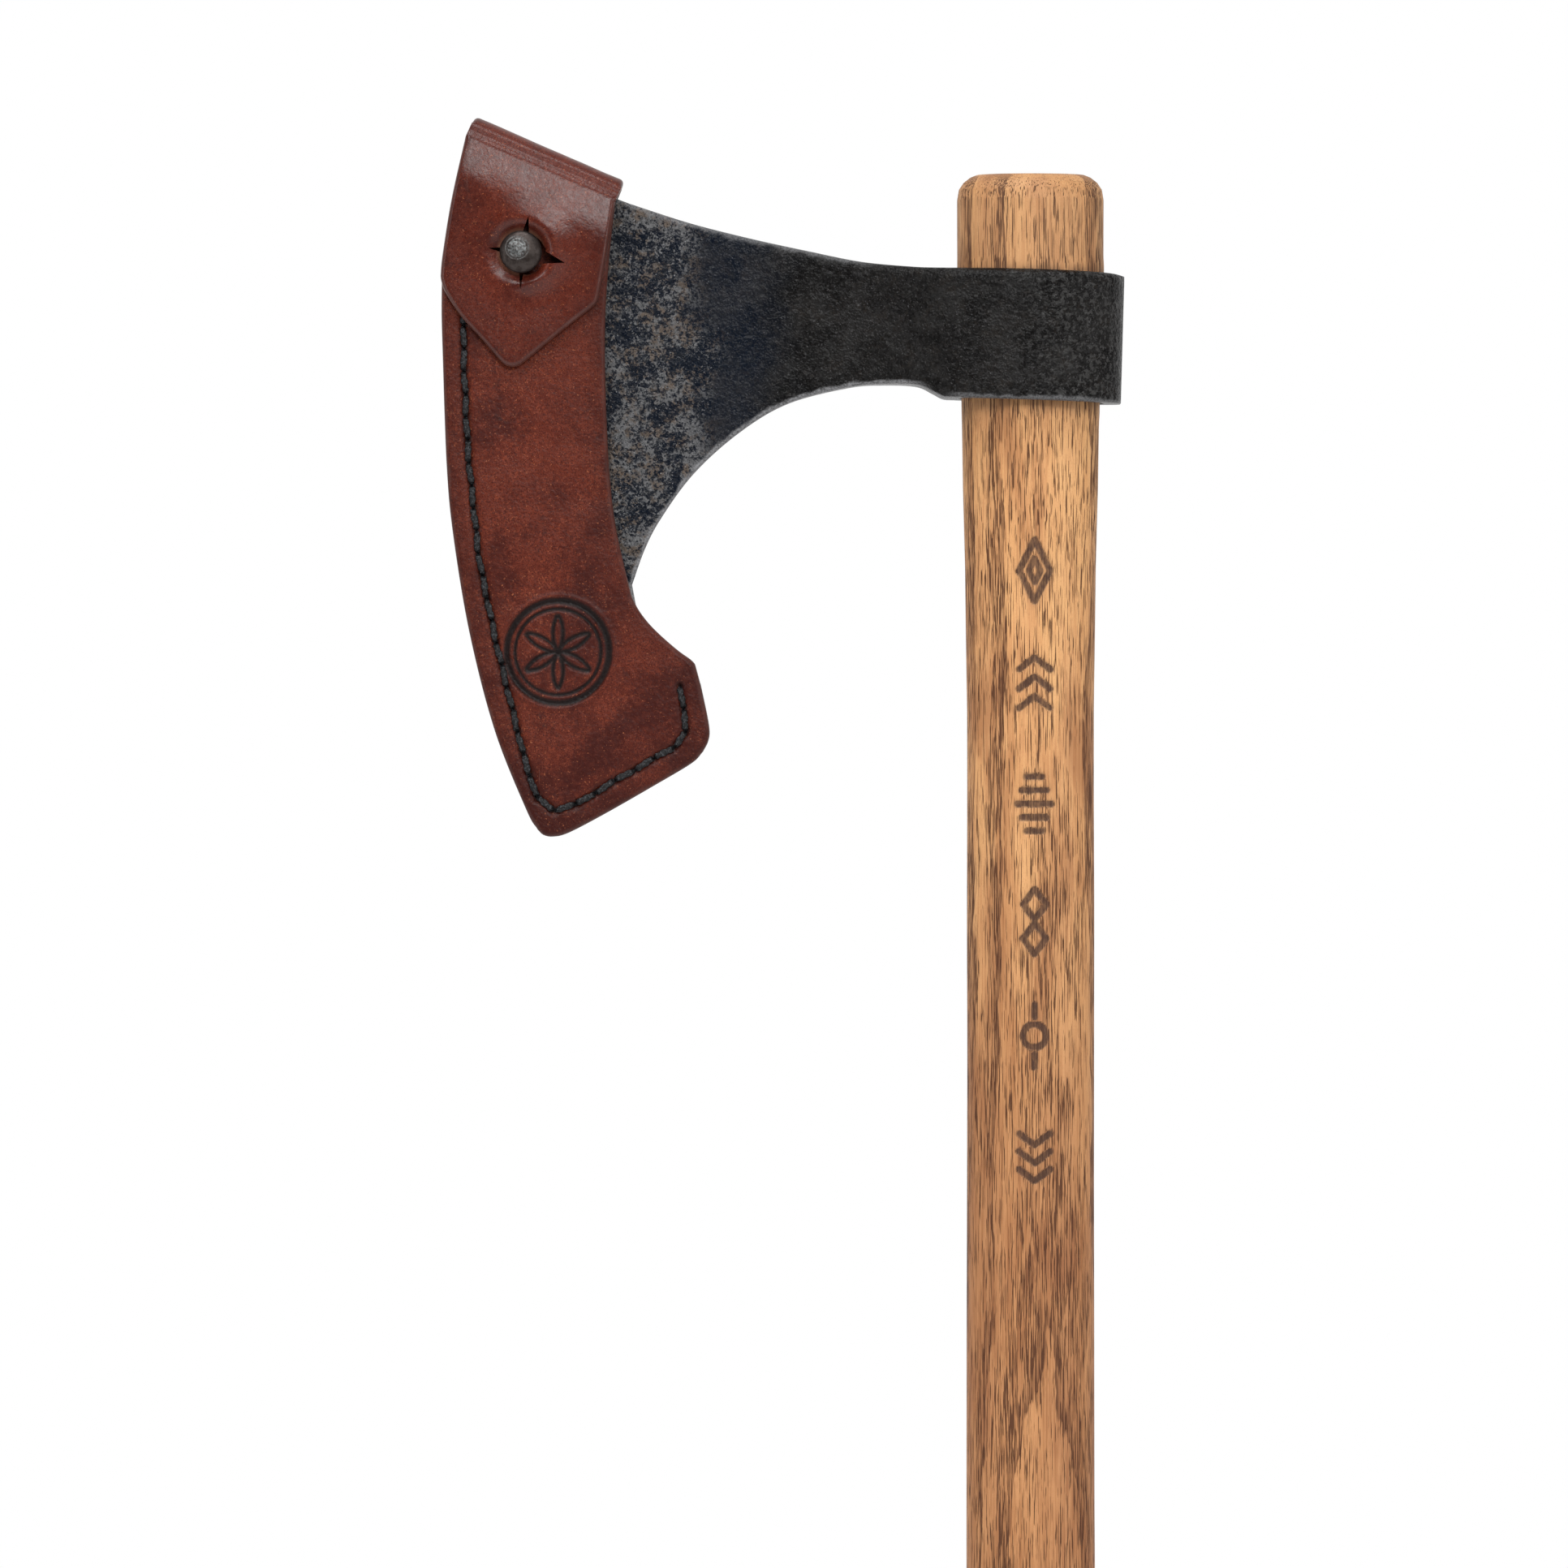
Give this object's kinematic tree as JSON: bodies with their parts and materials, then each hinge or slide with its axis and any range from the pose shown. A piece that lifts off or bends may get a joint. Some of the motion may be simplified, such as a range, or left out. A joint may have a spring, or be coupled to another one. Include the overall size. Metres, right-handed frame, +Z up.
{
  "type": "hatchet",
  "caption": "One-hand bearded axe: black steel head on a straight hickory haft, with a stitched leather blade cover whose flap folds over the toe and buttons on a stud.",
  "frame": {"origin": "centre of the haft's butt face", "axes": "+Z up the haft to its top, -X towards the cutting edge, -Y out of the side that carries the stud"},
  "size_m": [0.177, 0.0352, 0.4983],
  "materials": {
    "wood": "oiled, lightly torched",
    "steel": "forged, blackened, mottled",
    "leather": "dyed, waxed, burnished edges",
    "thread": "waxed",
    "stud": "gunmetal plate"
  },
  "bodies": {
    "tool": {"handle": "wood", "axe_head": "steel"},
    "cover": {"cover_front_panel": "leather", "cover_back_panel": "leather", "edge_welt": "leather", "flap_fold": "leather", "seam_thread": "thread", "stud_button": "stud", "stud_screw": "stud"},
    "flap": {"closure_flap": "leather"}
  },
  "joints": [
    {"name": "cover_slide", "type": "slide", "parent": "tool", "child": "cover", "axis": [-0.0995, 0, -0.995], "range_m": [0, 0.18]},
    {"name": "flap_hinge", "type": "hinge", "parent": "cover", "child": "flap", "pos_m": [-0.1247, -0.0015, 0.48875], "axis": [-0.9178, 0, 0.3971], "range_deg": [0, 120], "deforming": ["flap_fold"]}
  ]
}
